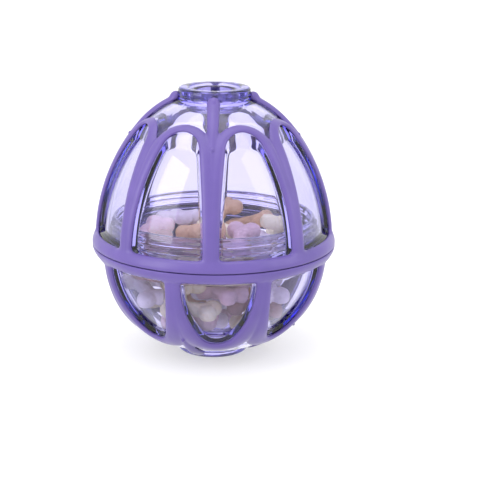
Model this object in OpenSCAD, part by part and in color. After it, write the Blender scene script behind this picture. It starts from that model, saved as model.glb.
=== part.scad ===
// Treat dispensing ball: a clear egg of two screwed halves in rubber cages, with a prong gate at each end.
// Millimetres, +Z up, the origin on the floor under the middle of the bottom collar, the front towards -Y.
// Heights in the halves' modules are measured from the parting plane, where the halves meet.

/* [Egg outline] */
// Radius of the upper cage at the parting plane
upper_r = 58.7; // [54:0.1:62]
// Distance from the axis to the centre of the upper side's arc, beyond the axis
upper_side_x = 34.3; // [28:0.1:42]
// Step in from the upper cage's radius to the radius of its dome
upper_dome_step = 10.2; // [8:0.1:12]
// Step in from the upper cage's radius to that of the lower cage, which is round
lower_step = 1.2; // [0.4:0.1:2]
// Step out from the upper cage's radius to the rubber rings' faces
ring_proud = 1.3; // [1:0.1:3]

/* [Clear shells] */
// Thickness of the clear plastic
wall = 2; // [1.4:0.1:2.6]
// Depth of the windows below the shell's face
pocket_depth = 2; // [1:0.1:2.6]
// Height of the sloped wall at the top of an upper window
pocket_slope_h = 5.8; // [4:0.1:8]
// Height of the screwed neck above the parting plane
neck_h = 14; // [10:0.5:15]
// Step in from the upper cage's radius to the neck's face, outside its threads
neck_step = 9.1; // [8.7:0.1:11]
// Thickness of the flange that carries the neck
flange_t = 2.6; // [2:0.1:4]

/* [Rubber cages] */
// Thickness of the rubber on the shell
rubber_t = 2; // [1.2:0.1:2.6]
// Gap drawn between rubber and the plastic it is moulded on
bond_gap = 0.05; // [0.02:0.01:0.1]
// Width of a leg
leg_w = 8.8; // [7:0.1:11]
// Height of each rubber ring from the parting plane
ring_h = 5; // [4:0.1:7]
// Radius of the rings' round face
ring_round_r = 5.8; // [5.5:0.1:8]
// Gap between the two rubber rings
ring_gap = 0.4; // [0.2:0.1:1]
// Turn of the lower cage's ribbed leg from the front, in degrees
lower_turn = -18.7; // [-40:0.1:40]
// Height of the upper windows above the ring
upper_window_h = 55.5; // [48:0.1:57]
// Radius at the crown of the upper windows
upper_window_crown_r = 10; // [8:0.1:12]
// Width of the rubber over the crown of an upper window
upper_band_w = 2.9; // [2:0.1:4.5]
// Radius at the crown of the upper arches
upper_arch_crown_r = 17.5; // [14:0.1:19]
// Depth of the lower windows below the ring
lower_window_h = 35.7; // [30:0.1:37]
// Radius at the foot of the lower windows
lower_window_crown_r = 9; // [7:0.1:12]
// Width of the rubber under the foot of a lower window
lower_band_w = 6.1; // [3.5:0.1:7]
// Radius at the foot of the lower arches
lower_arch_crown_r = 20; // [16:0.1:21]
// Width of a rib at its foot
rib_foot_w = 2.6; // [2:0.1:4]
// Width of a rib at the collar
rib_head_w = 5.2; // [4:0.1:7]

/* [Collars and gates] */
// Outer radius of a collar
collar_r = 17.6; // [16:0.1:19]
// Radius of the hole through a collar
hole_r = 12; // [11:0.1:13]
// Height of the upper collar above the shell
upper_collar_h = 5.5; // [4.5:0.1:7]
// Height of the lower collar below the shell
lower_collar_h = 3.2; // [3:0.1:5]
// Rounding of a collar's rims
collar_round = 1.6; // [0.8:0.1:1.8]
// Depth of the sleeve's inner end below the rim
sleeve_depth = 10; // [9:0.1:12]
// Thickness of the sleeve inside the shell
sleeve_wall = 1.6; // [1.2:0.1:2.2]
// Radial gap between a gate and its hole
gate_gap = 0.3; // [0.2:0.05:0.4]
// Thickness of a gate ring
gate_wall = 2.2; // [1.8:0.1:2.6]
// Depth of a gate ring's lip below the rim
gate_lip_depth = 1.2; // [0.8:0.1:2]
// Thickness of a gate ring's inner flange
gate_flange_t = 1.4; // [1:0.1:2]
// Depth of the prongs' hinge line below the rim
prong_depth = 5.6; // [5.2:0.1:6.4]
// Thickness of a prong
prong_t = 1.8; // [1.4:0.1:2.2]
// Width of a prong at its root
prong_root_w = 5.4; // [4.5:0.1:6]
// Width of a prong at its tip
prong_tip_w = 2.6; // [2:0.1:3.2]
// Radius of the free hole between the prongs' tips
prong_free_r = 3.4; // [3:0.1:3.8]

/* [Biscuits] */
// Number of biscuits inside
biscuit_count = 44; // [10:1:46]
// Length of a biscuit
biscuit_l = 28; // [24:0.5:30]
// Radius of a biscuit's lobes
lobe_r = 4.4; // [3.8:0.1:4.8]
// Radius of a biscuit's shank
shank_r = 3.9; // [3:0.1:4.2]
// Spread of the two lobes at an end, from the middle line
lobe_spread = 3.9; // [3.2:0.1:4.2]
// Air left between biscuits, and between them and the plastic
biscuit_gap = 0.3; // [0.2:0.05:0.6]

/* [Hidden] */
$fn = 96;

// Colours
clear_violet = [0.62, 0.6, 0.95, 0.45];
rubber_purple = [0.49, 0.41, 0.73];

// Legs of each cage, and the ribs that every second leg carries up to the collar
leg_count = 8;
leg_pitch = 360 / leg_count;
half_pitch = leg_pitch / 2;
rib_count = leg_count / 2;
rib_pitch = 360 / rib_count;
prong_count = 4;
prong_pitch = 360 / prong_count;

// The upper outline: a side arc whose centre lies beyond the axis, and a dome arc tangent to it
upper_side_r = upper_r + upper_side_x;
upper_top_r = upper_r - upper_dome_step;
upper_top_z = sqrt(pow(upper_side_r - upper_top_r, 2) - pow(upper_side_x, 2));
lower_r = upper_r - lower_step;
ring_r = upper_r + ring_proud;

// Radii and heights of the shells' and cages' layers, as insets from the cages' outer face
face_inset = rubber_t;
panel_inset = rubber_t + pocket_depth;
dome_inset = rubber_t + wall;
room_inset = panel_inset + wall;
reach = 4 * ring_r;
overrun = wall;
arc_steps = 10;

function upper_dome_z(inset, r) = upper_top_z + sqrt(pow(upper_top_r - inset, 2) - r * r);
function upper_dome_r(inset, z) = sqrt(pow(upper_top_r - inset, 2) - pow(z - upper_top_z, 2));
function lower_bowl_z(inset, r) = sqrt(pow(lower_r - inset, 2) - r * r);

upper_rim_z = upper_dome_z(face_inset, collar_r) + upper_collar_h;
parting_z = lower_bowl_z(face_inset, collar_r) + lower_collar_h;
total_h = parting_z + upper_rim_z;

// Neck
neck_r = upper_r - neck_step;
neck_in_r = neck_r - wall;

// Windows: half widths come from the legs that stay between them
upper_window_half_w = upper_r * sin(half_pitch) - leg_w / 2;
lower_window_half_w = lower_r * sin(half_pitch) - leg_w / 2;
upper_arch_h = upper_window_h + upper_band_w;
lower_arch_h = lower_window_h + lower_band_w;
upper_arch_half_w = upper_window_half_w + leg_w * 3 / 4;
lower_arch_half_w = lower_window_half_w + leg_w * 3 / 4;
// Windows are cut outwards from this radius, inside the panels and outside the collars
window_start_r = collar_r + bond_gap;
upper_crown_z = ring_h + upper_window_h + wall;
slope_foot_z = ring_h + upper_window_h - pocket_slope_h;

// Ribs run from the fork of two arches to the collar
upper_rib_foot_r = upper_window_half_w / sin(half_pitch) - leg_w / 2;
lower_rib_foot_r = lower_window_half_w / sin(half_pitch) - leg_w / 2;
rib_head_r = collar_r + rib_head_w / 2 + bond_gap;

// Gates, from the rim inwards
gate_r = hole_r - gate_gap;
gate_in_r = gate_r - gate_wall;
gate_flange_r = hole_r + sleeve_wall;
gate_flange_z = sleeve_depth + gate_gap;
gate_end_z = gate_flange_z + gate_flange_t;
prong_barrel_r = prong_t / 2 + gate_gap / 2;
prong_root_r = sqrt(pow(gate_in_r - gate_gap, 2) - pow(prong_root_w / 2, 2)) - prong_barrel_r;

// Outline of a window or an arch: two side arcs that stand on y = 0, and a crown arc tangent to both
function side_arc_r(half_w, h, crown_r) =
    (half_w * half_w + pow(h - crown_r, 2) - crown_r * crown_r) / (2 * (half_w - crown_r));

function arch_points(half_w, h, crown_r) =
    let (
        side_r = side_arc_r(half_w, h, crown_r),
        side_x = side_r - half_w,
        crown_y = h - crown_r,
        meet = atan2(crown_y, side_x)
    )
    concat(
        [for (i = [0:arc_steps]) let (a = meet * i / arc_steps)
            [side_r * cos(a) - side_x, side_r * sin(a)]],
        [for (i = [1:arc_steps]) let (a = meet + (90 - meet) * i / arc_steps)
            [crown_r * cos(a), crown_y + crown_r * sin(a)]]
    );

module arch_outline(half_w, h, crown_r) {
    right = arch_points(half_w, h, crown_r);
    polygon(concat(right, [for (i = [len(right) - 2:-1:0]) [-right[i][0], right[i][1]]]));
}

// The upper and lower half of the egg in section, drawn inwards by an inset
module upper_section(inset) {
    intersection() {
        square([reach, reach]);
        union() {
            translate([0, upper_top_z]) circle(r = upper_top_r - inset);
            intersection() {
                translate([-upper_side_x, 0]) circle(r = upper_side_r - inset);
                polygon([
                    [0, 0], [reach, 0],
                    [reach, upper_top_z + reach * upper_top_z / upper_side_x], [0, upper_top_z]
                ]);
            }
        }
    }
}

module lower_section(inset) {
    intersection() {
        translate([0, -reach]) square([reach, reach]);
        circle(r = lower_r - inset);
    }
}

// A collar in section: rim at depth 0, rounded at the outside and at the mouth, embedded to a depth
module collar_section(depth) {
    translate([hole_r, collar_round]) square([collar_r - hole_r, depth - collar_round]);
    translate([hole_r + collar_round, 0]) square([collar_r - hole_r - 2 * collar_round, depth]);
    for (r = [hole_r + collar_round, collar_r - collar_round])
        translate([r, collar_round]) circle(r = collar_round);
}

module sleeve_section() {
    translate([hole_r, collar_round]) square([sleeve_wall, sleeve_depth - collar_round]);
}

module bore_section() {
    translate([0, -overrun]) square([hole_r, sleeve_depth + 2 * overrun]);
}

// Pieces that stand on the bottom rim are drawn as they are; the top ones hang from the top rim
module at_top_rim() {
    translate([0, 0, total_h]) mirror([0, 0, 1]) children();
}

module at_parting() {
    translate([0, 0, parting_z]) children();
}

// Something cut or stood at each window, or each leg, of a cage
module each_window(first) {
    for (i = [0:leg_count - 1])
        rotate([0, 0, first + half_pitch + i * leg_pitch]) children();
}

// A prism outwards from window_start_r with the child's outline, level with the floor
module level_prism() {
    translate([0, -window_start_r, 0]) rotate([90, 0, 0]) linear_extrude(2 * ring_r) children();
}

// The windows stand on the rings
module upper_window_cut() {
    each_window(0) level_prism() translate([0, ring_h])
        arch_outline(upper_window_half_w, upper_window_h, upper_window_crown_r);
}

module lower_window_cut() {
    each_window(lower_turn) level_prism() translate([0, -ring_h]) mirror([0, 1])
        arch_outline(lower_window_half_w, lower_window_h, lower_window_crown_r);
}

// A rib in plan: a narrow tail under the leg, then from the fork wider and wider to a round head at the collar
module rib_plan(foot_r) {
    translate([-rib_foot_w / 2, -ring_r]) square([rib_foot_w, ring_r - foot_r]);
    polygon([
        [-rib_head_w / 2, -rib_head_r], [rib_head_w / 2, -rib_head_r],
        [rib_foot_w / 2, -foot_r], [-rib_foot_w / 2, -foot_r]
    ]);
    translate([0, -rib_head_r]) circle(d = rib_head_w);
}

module each_rib(first, foot_r) {
    for (i = [0:rib_count - 1])
        rotate([0, 0, first + i * rib_pitch]) translate([0, 0, ring_h / 2])
            linear_extrude(reach) rib_plan(foot_r);
}

// What an upper window's cut leaves: the panel, and a wall that slopes out from it to the shell's face
module upper_pocket_floor_section() {
    upper_section(panel_inset);
    polygon([
        [0, slope_foot_z], [upper_dome_r(panel_inset, slope_foot_z), slope_foot_z],
        [upper_dome_r(face_inset, ring_h + upper_window_h), upper_crown_z], [0, upper_crown_z]
    ]);
}

module upper_shell() {
    color(clear_violet) at_parting() difference() {
        rotate_extrude() difference() {
            union() {
                upper_section(face_inset);
                translate([0, upper_rim_z]) mirror([0, 1]) collar_section(upper_collar_h + wall);
            }
            // The room inside, less the sleeve
            difference() {
                union() {
                    upper_section(room_inset);
                    intersection() {
                        upper_section(dome_inset);
                        translate([0, upper_crown_z]) square([reach, reach]);
                    }
                }
                translate([0, upper_rim_z]) mirror([0, 1]) sleeve_section();
            }
            translate([0, upper_rim_z]) mirror([0, 1]) bore_section();
        }
        difference() {
            upper_window_cut();
            rotate_extrude() upper_pocket_floor_section();
        }
    }
}

module lower_shell() {
    color(clear_violet) at_parting() difference() {
        rotate_extrude() difference() {
            union() {
                lower_section(face_inset);
                translate([0, -parting_z]) collar_section(lower_collar_h + wall);
                translate([neck_in_r, -flange_t]) square([wall, neck_h + flange_t]);
            }
            difference() {
                union() {
                    intersection() {
                        lower_section(room_inset);
                        translate([0, -reach - flange_t]) square([reach, reach]);
                    }
                    translate([0, -flange_t - overrun]) square([neck_in_r, neck_h]);
                    intersection() {
                        lower_section(dome_inset);
                        translate([0, -reach - ring_h - lower_window_h - wall]) square([reach, reach]);
                    }
                }
                translate([0, -parting_z]) sleeve_section();
            }
            translate([0, -parting_z]) bore_section();
        }
        difference() {
            lower_window_cut();
            rotate_extrude() lower_section(panel_inset);
        }
    }
}

// A rubber ring in section: level at the parting plane, with a round face of the full diameter
module ring_section(face_r) {
    intersection() {
        translate([face_r, ring_gap / 2]) square([ring_r - face_r, ring_h - ring_gap / 2]);
        translate([ring_r - ring_round_r, 0]) circle(r = ring_round_r);
    }
}

// The rubber's layer in section, between the cage's face and the shell's, outside the collar
module cage_layer_section() {
    intersection() {
        translate([collar_r + bond_gap, -reach]) square([reach, 2 * reach]);
        difference() {
            children(0);
            children(1);
        }
    }
}

module upper_bumper() {
    color(rubber_purple) at_parting() difference() {
        union() {
            rotate_extrude() ring_section(upper_r - face_inset + bond_gap);
            intersection() {
                rotate_extrude() cage_layer_section() {
                    upper_section(0);
                    upper_section(face_inset - bond_gap);
                }
                union() {
                    each_window(0) level_prism() translate([0, ring_h / 2])
                        arch_outline(upper_arch_half_w, upper_arch_h + ring_h / 2, upper_arch_crown_r);
                    each_rib(0, upper_rib_foot_r);
                }
            }
        }
        upper_window_cut();
    }
}

module lower_bumper() {
    color(rubber_purple) at_parting() difference() {
        union() {
            mirror([0, 0, 1]) rotate_extrude() ring_section(lower_r - face_inset + bond_gap);
            intersection() {
                rotate_extrude() cage_layer_section() {
                    lower_section(0);
                    lower_section(face_inset - bond_gap);
                }
                union() {
                    each_window(lower_turn) level_prism() translate([0, -ring_h / 2]) mirror([0, 1])
                        arch_outline(lower_arch_half_w, lower_arch_h + ring_h / 2, lower_arch_crown_r);
                    mirror([0, 0, 1]) each_rib(lower_turn, lower_rib_foot_r);
                }
            }
        }
        lower_window_cut();
    }
}

// A gate ring, from the lip near the rim to the flange under the sleeve
module gate_ring() {
    color(rubber_purple) rotate_extrude() {
        translate([gate_in_r, gate_lip_depth + gate_wall / 2])
            square([gate_wall, gate_end_z - gate_lip_depth - gate_wall / 2]);
        translate([gate_in_r + gate_wall / 2, gate_lip_depth + gate_wall / 2]) circle(d = gate_wall);
        translate([gate_in_r, gate_flange_z]) square([gate_flange_r - gate_in_r, gate_flange_t]);
    }
}

// One prong: a hinge barrel along the ring's wall and a blade that tapers to a round tip
module prong(turn) {
    tip_r = prong_free_r + prong_tip_w / 2;
    color(rubber_purple) rotate([0, 0, turn]) translate([0, 0, prong_depth]) {
        translate([prong_root_w / 2, -prong_root_r, 0]) rotate([0, -90, 0])
            cylinder(r = prong_barrel_r, h = prong_root_w);
        translate([0, 0, -prong_t / 2]) linear_extrude(prong_t) {
            polygon([
                [-prong_root_w / 2, -prong_root_r], [prong_root_w / 2, -prong_root_r],
                [prong_tip_w / 2, -tip_r], [-prong_tip_w / 2, -tip_r]
            ]);
            translate([0, -tip_r]) circle(d = prong_tip_w);
        }
    }
}

module lower_prong(i) {
    prong(lower_turn + i * prong_pitch);
}

module upper_prong(i) {
    at_top_rim() prong(i * prong_pitch);
}

// Biscuits are dropped in one after another. Each is held as seven balls, four lobes and three in the shank.
lobe_x = biscuit_l / 2 - lobe_r;
shank_x = lobe_x * 3 / 5;
shank_ball_r = sqrt(pow(shank_r, 2) + pow(shank_x / 2, 2));
biscuit_balls = [
    [lobe_x, lobe_spread, 0, lobe_r], [lobe_x, -lobe_spread, 0, lobe_r],
    [-lobe_x, lobe_spread, 0, lobe_r], [-lobe_x, -lobe_spread, 0, lobe_r],
    [shank_x, 0, 0, shank_ball_r], [0, 0, 0, shank_ball_r], [-shank_x, 0, 0, shank_ball_r]
];
room_r = lower_r - room_inset - biscuit_gap;
neck_room_r = neck_in_r - biscuit_gap;
sleeve_top_z = gate_end_z - parting_z + biscuit_gap;

// A biscuit is let go at several places, and the lowest one is then shifted a little, time after time,
// as a biscuit does that slides into a hollow. The shares spread the places and shifts evenly.
try_count = 12;
settle_count = 4;
shift_count = 8;
drop_shares = [0.618034, 0.754878, 0.56984, 0.3819];
start_shares = [0, 0.5, 0, 0.3];
shift_shares = [0, 0.2, 0.4, 0.6];
settle_share = 0.6;
tilt_most = 20;
shift_turn = 25;
shift_tilt = 18;
shift_r = lobe_r * 4 / 3;

function frac(x) = x - floor(x);
function spread(n, from) = [for (k = [0:3]) frac(n * drop_shares[k] + from[k])];

// A place: turn about the ball, distance from the axis, own turn and tilt
function first_place(n) =
    let (s = spread(n, start_shares))
    [360 * s[0], sqrt(s[1]) * (neck_room_r - 2 * lobe_r), 180 * s[2], tilt_most * (2 * s[3] - 1)];
function shifted(p, n, size) =
    let (s = size * (2 * spread(n, shift_shares) - [1, 1, 1, 1]))
    p + [s[0] * shift_r / max(p[1], 2 * lobe_r) * 180 / PI, s[1] * shift_r, s[2] * shift_turn, s[3] * shift_tilt];

// A biscuit's balls, tilted about their middle, turned, moved out and turned about the ball
function turned(v, a) = [v[0] * cos(a) - v[1] * sin(a), v[0] * sin(a) + v[1] * cos(a), v[2]];
function tilted(v, a) = [v[0] * cos(a), v[1], v[0] * sin(a)];
function moved(v, p) = turned(turned(tilted(v, p[3]), p[2]) + [p[1], 0, 0], p[0]);
function balls_at(p) = [for (b = biscuit_balls) concat(moved([b[0], b[1], b[2]], p), b[3])];

// The lowest height at which one ball clears the bowl, the sleeve and another ball
function clear_of_bowl(b) =
    let (r = norm([b[0], b[1]]), lean = pow(room_r - b[3], 2) - r * r)
    max(
        lean > 0 ? -sqrt(lean) : 0,
        r < gate_flange_r + b[3] ? sleeve_top_z + b[3] : -parting_z
    ) - b[2];
function clear_of_ball(b, c) =
    let (apart = b[3] + c[3] + biscuit_gap, lean = apart * apart - pow(b[0] - c[0], 2) - pow(b[1] - c[1], 2))
    lean > 0 ? c[2] + sqrt(lean) - b[2] : -parting_z;
function near_by(p, pile) =
    let (x = p[1] * cos(p[0]), y = p[1] * sin(p[0]))
    [for (c = pile) if (norm([x - c[5][0], y - c[5][1]]) < biscuit_l + 2 * lobe_r) each c];

// A place with its resting height, or nothing if a ball would meet the neck
function at_rest(p, pile) =
    let (balls = balls_at(p), room = max([for (b = balls) norm([b[0], b[1]]) + b[3]]))
    room > neck_room_r || p[1] < 0 ? [] :
    [[
        max(
            max([for (b = balls) clear_of_bowl(b)]),
            max([-parting_z, for (c = near_by(p, pile)) for (b = balls) clear_of_ball(b, c)])
        ),
        p
    ]];
function lowest(found) =
    let (z = min([for (f = found) f[0]]))
    [for (f = found) if (f[0] == z) f][0];
function settled(best, i, step, pile) =
    step == settle_count ? best :
    settled(
        lowest([
            best,
            for (k = [1:shift_count])
                each at_rest(
                    shifted(best[1], (i * settle_count + step) * shift_count + k, pow(settle_share, step)), pile
                )
        ]),
        i, step + 1, pile
    );
function rested(i, pile) =
    settled(
        lowest([for (k = [1:try_count]) each at_rest(first_place(i * try_count + k), pile)]), i, 0, pile
    );

// The pile as a list of [height, place], biscuit by biscuit
function pile_up(i, rests, pile) =
    i == biscuit_count ? rests :
    let (f = rested(i, pile))
    pile_up(i + 1, concat(rests, [f]), concat(pile, [[for (b = balls_at(f[1])) b + [0, 0, f[0], 0]]]));

module biscuit() {
    for (x = [-lobe_x, lobe_x], side = [-1, 1])
        translate([x, side * lobe_spread, 0]) rotate([-side * 90, 0, 0]) sphere(r = lobe_r);
    translate([-lobe_x, 0, 0]) rotate([0, 90, 0]) cylinder(r = shank_r, h = 2 * lobe_x);
}

// The biscuits of one of the five colours
colour_count = 5;

module biscuits(kind, tone) {
    rests = pile_up(0, [], []);
    color(tone) at_parting()
        for (i = [kind:colour_count:biscuit_count - 1]) {
            p = rests[i][1];
            rotate([0, 0, p[0]]) translate([p[1], 0, rests[i][0]])
                rotate([0, 0, p[2]]) rotate([0, -p[3], 0]) biscuit();
        }
}

lower_shell();
upper_shell();
lower_bumper();
upper_bumper();
gate_ring();  // lower_gate_ring
at_top_rim() gate_ring();  // upper_gate_ring
lower_prong(0);  // lower_prong_1
lower_prong(1);  // lower_prong_2
lower_prong(2);  // lower_prong_3
lower_prong(3);  // lower_prong_4
upper_prong(0);  // upper_prong_1
upper_prong(1);  // upper_prong_2
upper_prong(2);  // upper_prong_3
upper_prong(3);  // upper_prong_4
biscuits(0, [0.78, 0.72, 0.8]);  // biscuits_lilac
biscuits(1, [0.8, 0.65, 0.72]);  // biscuits_pink
biscuits(2, [0.92, 0.84, 0.67]);  // biscuits_cream
biscuits(3, [0.78, 0.59, 0.43]);  // biscuits_tan
biscuits(4, [0.55, 0.4, 0.41]);  // biscuits_brown
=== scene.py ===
# %% [markdown]
# # A clear treat ball in rubber cages
# The ball is an egg of two clear violet halves that screw together. Each half wears a cage of soft
# purple rubber, and a rubber gate with four prongs sits in the collar at each end. Baked biscuits
# fill the lower half.
# The CAD model gives the frame: where each body is, and how it moves. This file builds the looks
# around it, one piece and one finish at a time.

# %% Load the frame
import bmesh
import bpy
import math
import numpy as np
from mathutils import Matrix, Vector


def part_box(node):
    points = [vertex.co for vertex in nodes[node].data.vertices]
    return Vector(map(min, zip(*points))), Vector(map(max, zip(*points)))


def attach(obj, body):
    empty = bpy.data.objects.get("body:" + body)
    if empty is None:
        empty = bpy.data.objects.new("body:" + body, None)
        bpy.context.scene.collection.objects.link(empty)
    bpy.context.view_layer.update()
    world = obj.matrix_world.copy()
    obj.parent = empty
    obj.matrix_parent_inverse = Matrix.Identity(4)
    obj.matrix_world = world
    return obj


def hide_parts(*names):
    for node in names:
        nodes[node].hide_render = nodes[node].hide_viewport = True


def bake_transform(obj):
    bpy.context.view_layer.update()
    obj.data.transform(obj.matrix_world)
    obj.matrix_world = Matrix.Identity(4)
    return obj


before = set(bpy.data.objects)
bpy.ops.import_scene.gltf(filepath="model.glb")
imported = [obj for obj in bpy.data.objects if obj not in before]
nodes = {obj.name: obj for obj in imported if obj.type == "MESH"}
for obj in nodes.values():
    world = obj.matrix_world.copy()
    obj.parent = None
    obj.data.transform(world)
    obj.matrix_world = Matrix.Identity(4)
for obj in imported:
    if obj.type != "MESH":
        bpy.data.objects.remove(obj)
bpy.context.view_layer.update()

# %% [markdown]
# ## The camera
# The photograph was taken from a little above, with a long lens. The camera looks at the point on
# the axis where the halves part, and the shift puts that point left of the picture's middle.

# %% Camera
PARTING = 0.055835
CAMERA_AZIMUTH = math.radians(1.3)
CAMERA_ELEVATION = math.radians(15.46)
CAMERA_ROLL = math.radians(0.32)
CAMERA_DISTANCE = 0.683
CAMERA_LENS, CAMERA_SENSOR = 99.0, 36
CAMERA_SHIFT = (0.0726, -0.0198)

camera = bpy.data.objects.new("camera", bpy.data.cameras.new("camera"))
bpy.context.scene.collection.objects.link(camera)
bpy.context.scene.camera = camera
camera.data.lens = CAMERA_LENS
camera.data.sensor_width = CAMERA_SENSOR
camera.data.shift_x, camera.data.shift_y = CAMERA_SHIFT
back = Vector((
    math.sin(CAMERA_AZIMUTH) * math.cos(CAMERA_ELEVATION),
    -math.cos(CAMERA_AZIMUTH) * math.cos(CAMERA_ELEVATION),
    math.sin(CAMERA_ELEVATION),
))
turn = (-back).to_track_quat("-Z", "Y").to_matrix().to_4x4() @ Matrix.Rotation(CAMERA_ROLL, 4, "Z")
camera.matrix_world = Matrix.Translation(Vector((0, 0, PARTING)) + back * CAMERA_DISTANCE) @ turn
print("camera", round(camera.data.lens, 1), "mm,", CAMERA_DISTANCE, "m away")

# %% [markdown]
# ## Trees of nodes
# Finishes and Geometry Nodes are both trees of nodes, so the same short functions build them. An
# input is given by its name, as a value or as another node's output.

# %% Helpers for nodes
def fill(tree, socket, value):
    """Gives a socket its value, or links it to another node's output."""
    if isinstance(value, bpy.types.NodeSocket):
        tree.links.new(value, socket)
    else:
        socket.default_value = value


def node(tree, kind, **settings):
    """A node of a tree. A setting named like an input socket fills it. Any other is a property."""
    made = tree.nodes.new(kind)
    for label, value in settings.items():
        sockets = [s for s in made.inputs if s.name.replace(" ", "_").lower() == label and s.enabled]
        if sockets:
            fill(tree, sockets[0], value)
        else:
            setattr(made, label, value)
    return made


def math_node(tree, operation, *values):
    """The result of a Math node on numbers and other nodes' outputs."""
    made = node(tree, "ShaderNodeMath", operation=operation)
    for socket, value in zip(made.inputs, values):
        fill(tree, socket, value)
    return made.outputs[0]


# %% [markdown]
# ## Floor, backdrop and light
# The picture is high key: white all round, with a faint grey shadow at the foot. A floor lit to pure
# white would drown the plastic's own shades, so the light stays at a plain level, and part of the
# floor's white is its own glow. How much depends on the ray: reflections and rays through clear
# plastic see it white, the camera sees some shadow on it, and for the light on the ball it is matt.
# Rays through the plastic also see a brighter backdrop, which keeps the thin panels pale.

# %% Stage
FLOOR_HALF = 3.0
FLOOR_GLOW, FLOOR_GLOW_FOR_CAMERA = 1.25, 0.4
SKY_STRENGTH, SEEN_THROUGH = 1.2, 1.5
WHITE = (1, 1, 1, 1)
LAMPS_AIM = (0, 0, 0.07)


def new_material(name, settings):
    """A material, its tree, and its Principled shader with these inputs."""
    material = bpy.data.materials.new(name)
    material.use_nodes = True
    tree = material.node_tree
    shader = tree.nodes["Principled BSDF"]
    for label, value in settings.items():
        shader.inputs[label].default_value = value
    return material, tree, shader


def glow_share(tree):
    """How much of the floor's white glows: all for gloss and clear pieces, some for the camera."""
    path = tree.nodes.new("ShaderNodeLightPath")
    share = math_node(tree, "MULTIPLY", path.outputs["Is Camera Ray"], FLOOR_GLOW_FOR_CAMERA)
    for kind in ("Is Glossy Ray", "Is Transmission Ray"):
        share = math_node(tree, "MAXIMUM", path.outputs[kind], share)
    return share


def make_floor():
    mesh = bpy.data.meshes.new("floor")
    half = FLOOR_HALF
    mesh.from_pydata(
        [(-half, -half, 0), (half, -half, 0), (half, half, 0), (-half, half, 0)], [], [(0, 1, 2, 3)]
    )
    floor = bpy.data.objects.new("floor", mesh)
    bpy.context.scene.collection.objects.link(floor)
    material, tree, shader = new_material("floor_white", {
        "Base Color": (0.9, 0.9, 0.9, 1), "Roughness": 0.7, "Specular IOR Level": 0.1,
    })
    glow = node(tree, "ShaderNodeEmission", color=WHITE, strength=FLOOR_GLOW)
    mix = tree.nodes.new("ShaderNodeMixShader")
    tree.links.new(glow_share(tree), mix.inputs[0])
    tree.links.new(shader.outputs[0], mix.inputs[1])
    tree.links.new(glow.outputs[0], mix.inputs[2])
    tree.links.new(mix.outputs[0], tree.nodes["Material Output"].inputs["Surface"])
    mesh.materials.append(material)


def light_backdrop():
    """A white world, brighter for rays that have passed through clear plastic."""
    world = bpy.data.worlds.new("studio")
    bpy.context.scene.world = world
    world.use_nodes = True
    tree = world.node_tree
    sky = tree.nodes["Background"]
    sky.inputs["Color"].default_value = WHITE
    through = tree.nodes.new("ShaderNodeLightPath").outputs["Is Transmission Ray"]
    strength = math_node(tree, "MULTIPLY_ADD", through, SEEN_THROUGH - SKY_STRENGTH, SKY_STRENGTH)
    tree.links.new(strength, sky.inputs["Strength"])


def softbox(name, place, size, watts):
    """A large area lamp that looks at the middle of the ball."""
    lamp = bpy.data.objects.new(name, bpy.data.lights.new(name, "AREA"))
    bpy.context.scene.collection.objects.link(lamp)
    lamp.data.shape = "RECTANGLE"
    lamp.data.size, lamp.data.size_y = size
    lamp.data.energy = watts
    direction = Vector(LAMPS_AIM) - Vector(place)
    lamp.matrix_world = Matrix.Translation(place) @ direction.to_track_quat("-Z", "Y").to_matrix().to_4x4()


make_floor()
light_backdrop()
bpy.context.scene.view_settings.view_transform = "Standard"
softbox("left_box", (-0.75, -0.55, 0.45), (0.5, 0.9), 4)
softbox("right_box", (0.8, -0.3, 0.5), (0.5, 0.9), 2)
softbox("top_box", (-0.1, -0.1, 1.1), (0.9, 0.9), 4)
print("floor, world and lamps made")

# %% [markdown]
# ## Finishes
# Clear plastic gets its colour from its thickness: the thin panels are pale and the walls seen
# along their length go deep blue violet. So the colour is in the volume, not on the surface. The
# rubber is satin, a little mottled, with the fine grain of a blasted mould. The biscuits are baked
# dough: streaky colour, a matt crumb, and a shade of their own for each.

# %% Helpers for finishes
def object_noise(tree, scale, detail=2.0, stretch=(1, 1, 1)):
    """Noise on the piece's own coordinates: features about 1/scale metres across."""
    place = tree.nodes.new("ShaderNodeTexCoord").outputs["Object"]
    mapping = node(tree, "ShaderNodeMapping", vector=place, scale=stretch)
    noise = node(tree, "ShaderNodeTexNoise", vector=mapping.outputs[0], scale=scale, detail=detail)
    return noise.outputs["Fac"]


def between(tree, share, low, high, start=0.3, end=0.7):
    """A number that runs from low to high as the share runs from start to end."""
    return node(
        tree, "ShaderNodeMapRange", value=share, from_min=start, from_max=end, to_min=low, to_max=high
    ).outputs[0]


def mixed(tree, share, low, high):
    """A colour between two colours, or between two other mixes."""
    mix = node(tree, "ShaderNodeMix", data_type="RGBA")
    tree.links.new(share, mix.inputs[0])
    for index, value in ((6, low), (7, high)):
        fill(tree, mix.inputs[index], value if isinstance(value, bpy.types.NodeSocket) else (*value, 1))
    return mix.outputs[2]


def bumped(tree, shader, height, strength, distance):
    bump = node(tree, "ShaderNodeBump", height=height, strength=strength, distance=distance)
    tree.links.new(bump.outputs[0], shader.inputs["Normal"])


# %% Finishes
GLASS_TINT, GLASS_DENSITY, GLASS_ROUGH = (0.33, 0.25, 0.95), 125, 0.0
GATE_TINT, GATE_DENSITY, GATE_ROUGH = (0.2, 0.1, 0.62), 260, 0.12
WEAR_ROUGH = 0.05
RUBBER_DARK, RUBBER_LIGHT = (0.096, 0.062, 0.27), (0.118, 0.076, 0.31)
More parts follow.
